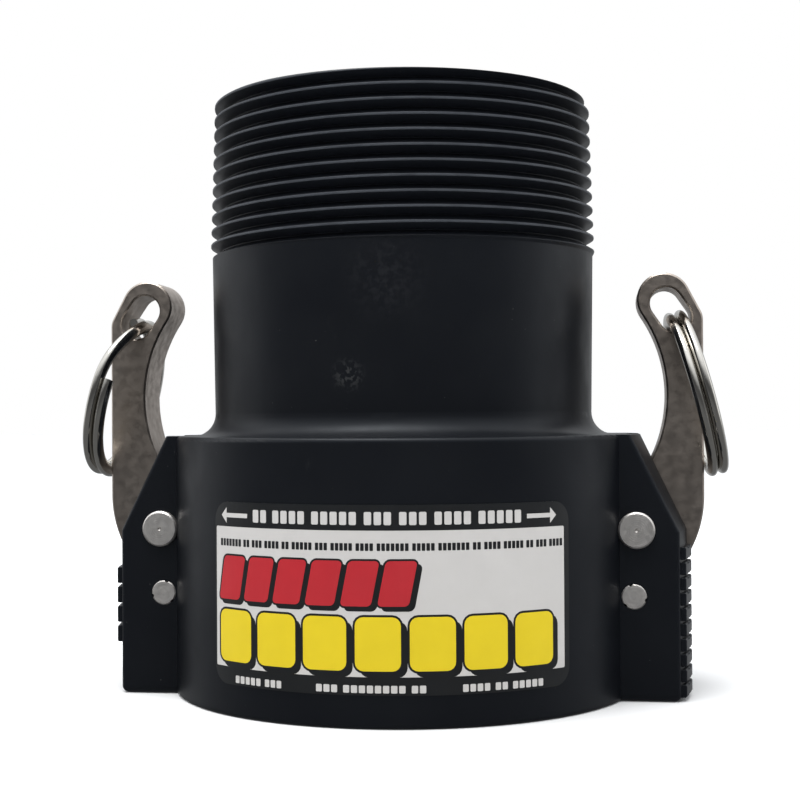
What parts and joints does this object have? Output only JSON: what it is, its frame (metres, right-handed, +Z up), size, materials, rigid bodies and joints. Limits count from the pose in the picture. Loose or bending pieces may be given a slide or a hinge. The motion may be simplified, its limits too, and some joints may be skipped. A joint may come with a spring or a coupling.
{
  "type": "camlock coupling",
  "caption": "Cam-and-groove hose coupling in black plastic: female socket with pin-locked steel cam levers and pull rings, male taper pipe thread on the neck.",
  "frame": {"origin": "centre of the socket's mouth plane, on the bore axis", "axes": "+Z up the bore from the mouth to the thread, +X to the right ear, +Y away from the label and the press pins' buttons"},
  "size_m": [0.1474, 0.105, 0.1336],
  "materials": {
    "body_plastic": "black glass-filled nylon, satin moulding, faint scuffs",
    "gasket_rubber": "black nitrile rubber",
    "label_vinyl": "printed vinyl, white panel on black with red and yellow bars",
    "lever_steel": "cast stainless steel, tumbled satin",
    "pin_steel": "turned stainless steel",
    "spring_steel": "stainless spring wire",
    "plug_plastic": "black nylon press plug",
    "ring_steel": "bright stainless wire"
  },
  "bodies": {
    "coupler": {"coupler_body": "body_plastic", "face_gasket": "gasket_rubber", "front_label": "label_vinyl", "right_pivot_pin": "pin_steel", "right_rear_plug": "plug_plastic", "right_press_spring": "spring_steel", "left_pivot_pin": "pin_steel", "left_rear_plug": "plug_plastic", "left_press_spring": "spring_steel"},
    "right_lever": {"right_cam_lever": "lever_steel"},
    "right_pin": {"right_press_pin": "pin_steel"},
    "right_ring": {"right_pull_ring": "ring_steel"},
    "left_lever": {"left_cam_lever": "lever_steel"},
    "left_pin": {"left_press_pin": "pin_steel"},
    "left_ring": {"left_pull_ring": "ring_steel"}
  },
  "joints": [
    {"name": "right_lever_hinge", "type": "hinge", "parent": "coupler", "child": "right_lever", "pos_m": [0.0523, 0, 0.0227], "axis": [0, 1, 0], "range_deg": [0, 110]},
    {"name": "right_pin_press", "type": "slide", "parent": "coupler", "child": "right_pin", "axis": [0, 1, 0], "range_m": [0, 0.002], "stiffness_N_per_m": 1500, "springref_m": -0.0025, "deforming": ["right_press_spring"]},
    {"name": "right_ring_swing", "type": "hinge", "parent": "right_lever", "child": "right_ring", "pos_m": [0.06215, 0, 0.084], "axis": [0, -1, 0], "range_deg": [0, 150]},
    {"name": "left_lever_hinge", "type": "hinge", "parent": "coupler", "child": "left_lever", "pos_m": [-0.0523, 0, 0.0227], "axis": [0, -1, 0], "range_deg": [0, 110]},
    {"name": "left_pin_press", "type": "slide", "parent": "coupler", "child": "left_pin", "axis": [0, 1, 0], "range_m": [0, 0.002], "stiffness_N_per_m": 1500, "springref_m": -0.0025, "deforming": ["left_press_spring"]},
    {"name": "left_ring_swing", "type": "hinge", "parent": "left_lever", "child": "left_ring", "pos_m": [-0.06215, 0, 0.084], "axis": [0, 1, 0], "range_deg": [0, 150]}
  ]
}
